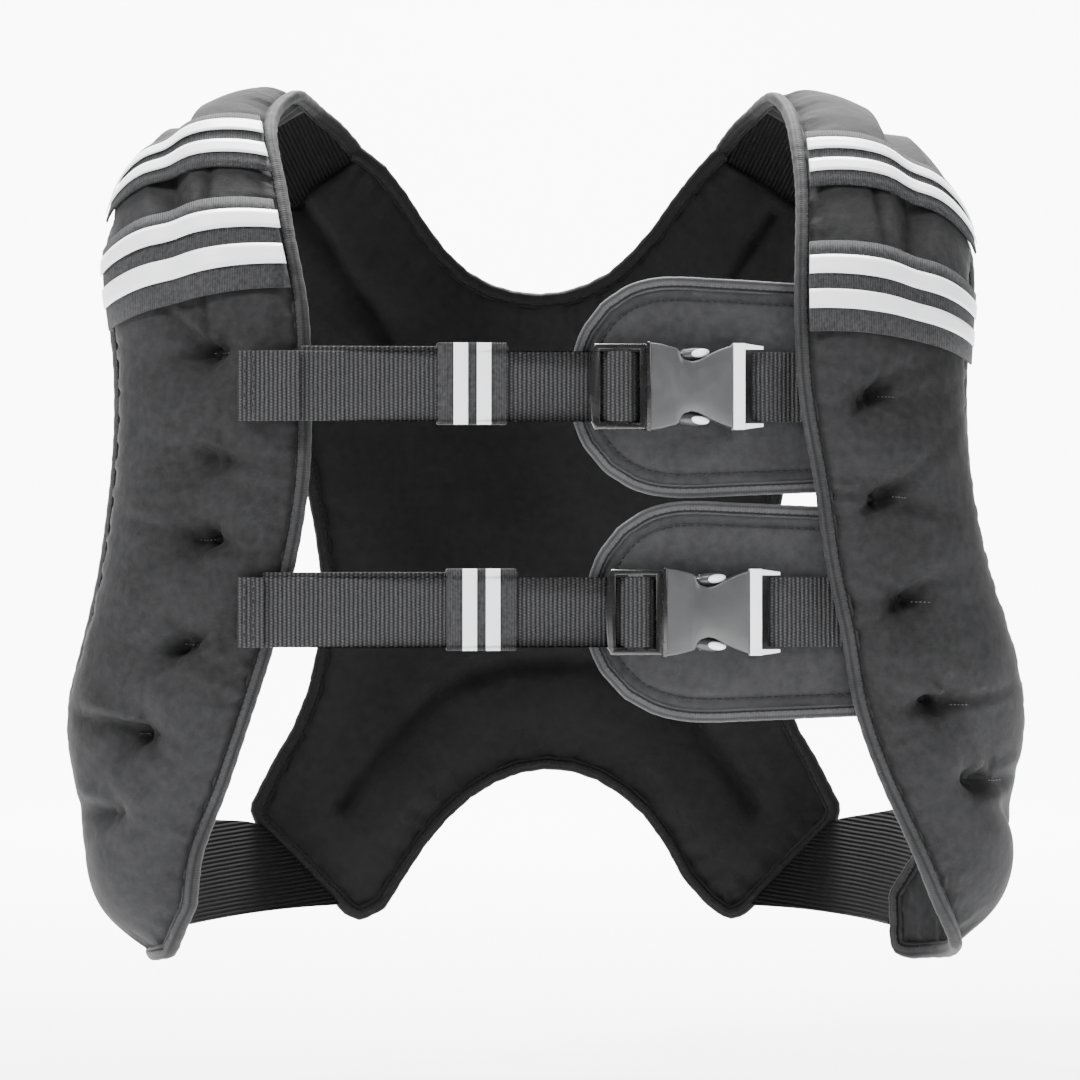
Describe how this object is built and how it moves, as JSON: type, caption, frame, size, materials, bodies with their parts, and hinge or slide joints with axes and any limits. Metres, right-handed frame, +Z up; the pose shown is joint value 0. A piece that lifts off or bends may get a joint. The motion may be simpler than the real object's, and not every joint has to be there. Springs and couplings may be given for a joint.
{
  "type": "weighted vest",
  "caption": "Padded weighted vest in worn form: quilted front panels, X-shaped back, elastics, reflective bands and buckled chest straps.",
  "frame": {"origin": "where the vest sits on the wearer, midway between the two shoulders at the height of their undersides", "axes": "+Z up, -Y the front of the vest, +X to the right as seen from the front, which is the wearer's left"},
  "size_m": [0.4277, 0.2194, 0.3952],
  "materials": {
    "neoprene": "smooth charcoal neoprene cloth, quilted over a filling",
    "lining": "near-black lining cloth",
    "binding": "grey knitted edge binding with a double seam",
    "back_binding": "black knitted edge binding",
    "elastic": "black ribbed elastic",
    "webbing": "grey woven webbing",
    "keeper": "grey ribbed tape loop",
    "band": "grey ribbed tape",
    "reflective": "near-white reflective tape",
    "flap": "grey padded cloth",
    "flap_binding": "light grey edge binding",
    "buckle_frame": "black gloss plastic",
    "buckle_body": "grey satin plastic"
  },
  "bodies": {
    "root": {"right_front_panel": "neoprene", "left_front_panel": "neoprene", "back_panel": "lining", "right_shoulder_elastic": "elastic", "left_shoulder_elastic": "elastic", "right_side_elastic": "elastic", "left_side_elastic": "elastic", "right_front_binding": "binding", "left_front_binding": "binding", "back_neck_binding": "back_binding", "back_outer_binding": "back_binding", "left_upper_band": "band", "left_upper_band_stripe_1": "reflective", "left_upper_band_stripe_2": "reflective", "left_lower_band": "band", "left_lower_band_stripe_1": "reflective", "left_lower_band_stripe_2": "reflective", "right_upper_band": "band", "right_upper_band_stripe_1": "reflective", "right_upper_band_stripe_2": "reflective", "right_lower_band": "band", "right_lower_band_stripe_1": "reflective", "right_lower_band_stripe_2": "reflective", "upper_strap_left": "webbing", "upper_strap_tab": "webbing", "upper_strap_tail": "webbing", "upper_strap_right": "webbing", "upper_keeper": "keeper", "upper_keeper_stripe_1": "reflective", "upper_keeper_stripe_2": "reflective", "upper_buckle_plug": "buckle_frame", "upper_buckle_socket": "buckle_body", "upper_flap": "flap", "upper_flap_binding": "flap_binding", "lower_strap_left": "webbing", "lower_strap_tab": "webbing", "lower_strap_tail": "webbing", "lower_strap_right": "webbing", "lower_keeper": "keeper", "lower_keeper_stripe_1": "reflective", "lower_keeper_stripe_2": "reflective", "lower_buckle_plug": "buckle_frame", "lower_buckle_socket": "buckle_body", "lower_flap": "flap", "lower_flap_binding": "flap_binding"}
  },
  "joints": []
}
